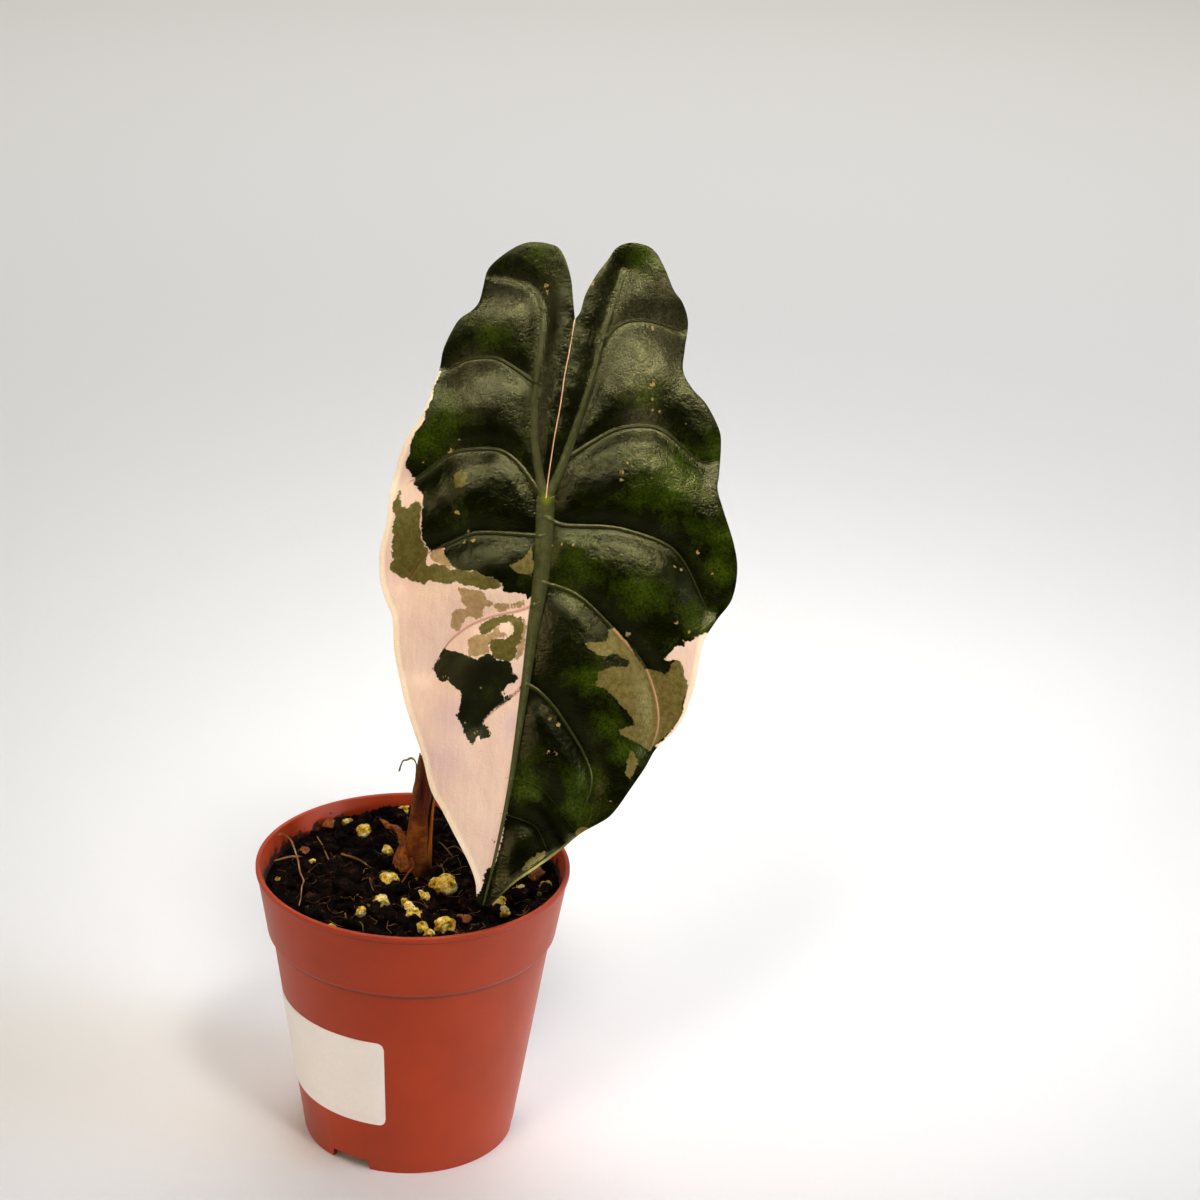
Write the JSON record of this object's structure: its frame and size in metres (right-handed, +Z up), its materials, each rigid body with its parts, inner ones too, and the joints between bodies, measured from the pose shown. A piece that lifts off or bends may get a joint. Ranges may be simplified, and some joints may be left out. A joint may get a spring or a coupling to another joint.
{
  "type": "potted alocasia chantrieri",
  "caption": "House plant with an arrow-shaped quilted leaf on an upright stalk, variegated green, pink and olive, growing in soil in a tapered plastic nursery pot with a blank label.",
  "frame": {"origin": "middle of the pot's underside, on the surface it stands on", "axes": "+Z up along the pot's axis; -Y is the side from which the blade's upper face is seen; +X is to the right from there"},
  "size_m": [0.133, 0.09, 0.2594],
  "materials": {
    "pot_plastic": "moulded polypropylene, satin, terracotta colour",
    "label_paper": "smooth white self-adhesive paper, blank",
    "potting_mix": "dark moist peat mix with pale perlite grains and bark",
    "stalk": "reddish brown, faintly glossy, with a maroon stripe",
    "dry_sheath": "dry brown papery sheath",
    "old_stalk": "dry orange-brown plant tissue",
    "leaf": "leathery, semi-gloss dark green with pink, cream and olive patches"
  },
  "bodies": {
    "root": {"pot": "pot_plastic", "label": "label_paper", "soil": "potting_mix", "petiole": "stalk", "sheath": "dry_sheath", "old_leaf_base": "old_stalk", "leaf_blade": "leaf"}
  },
  "joints": []
}
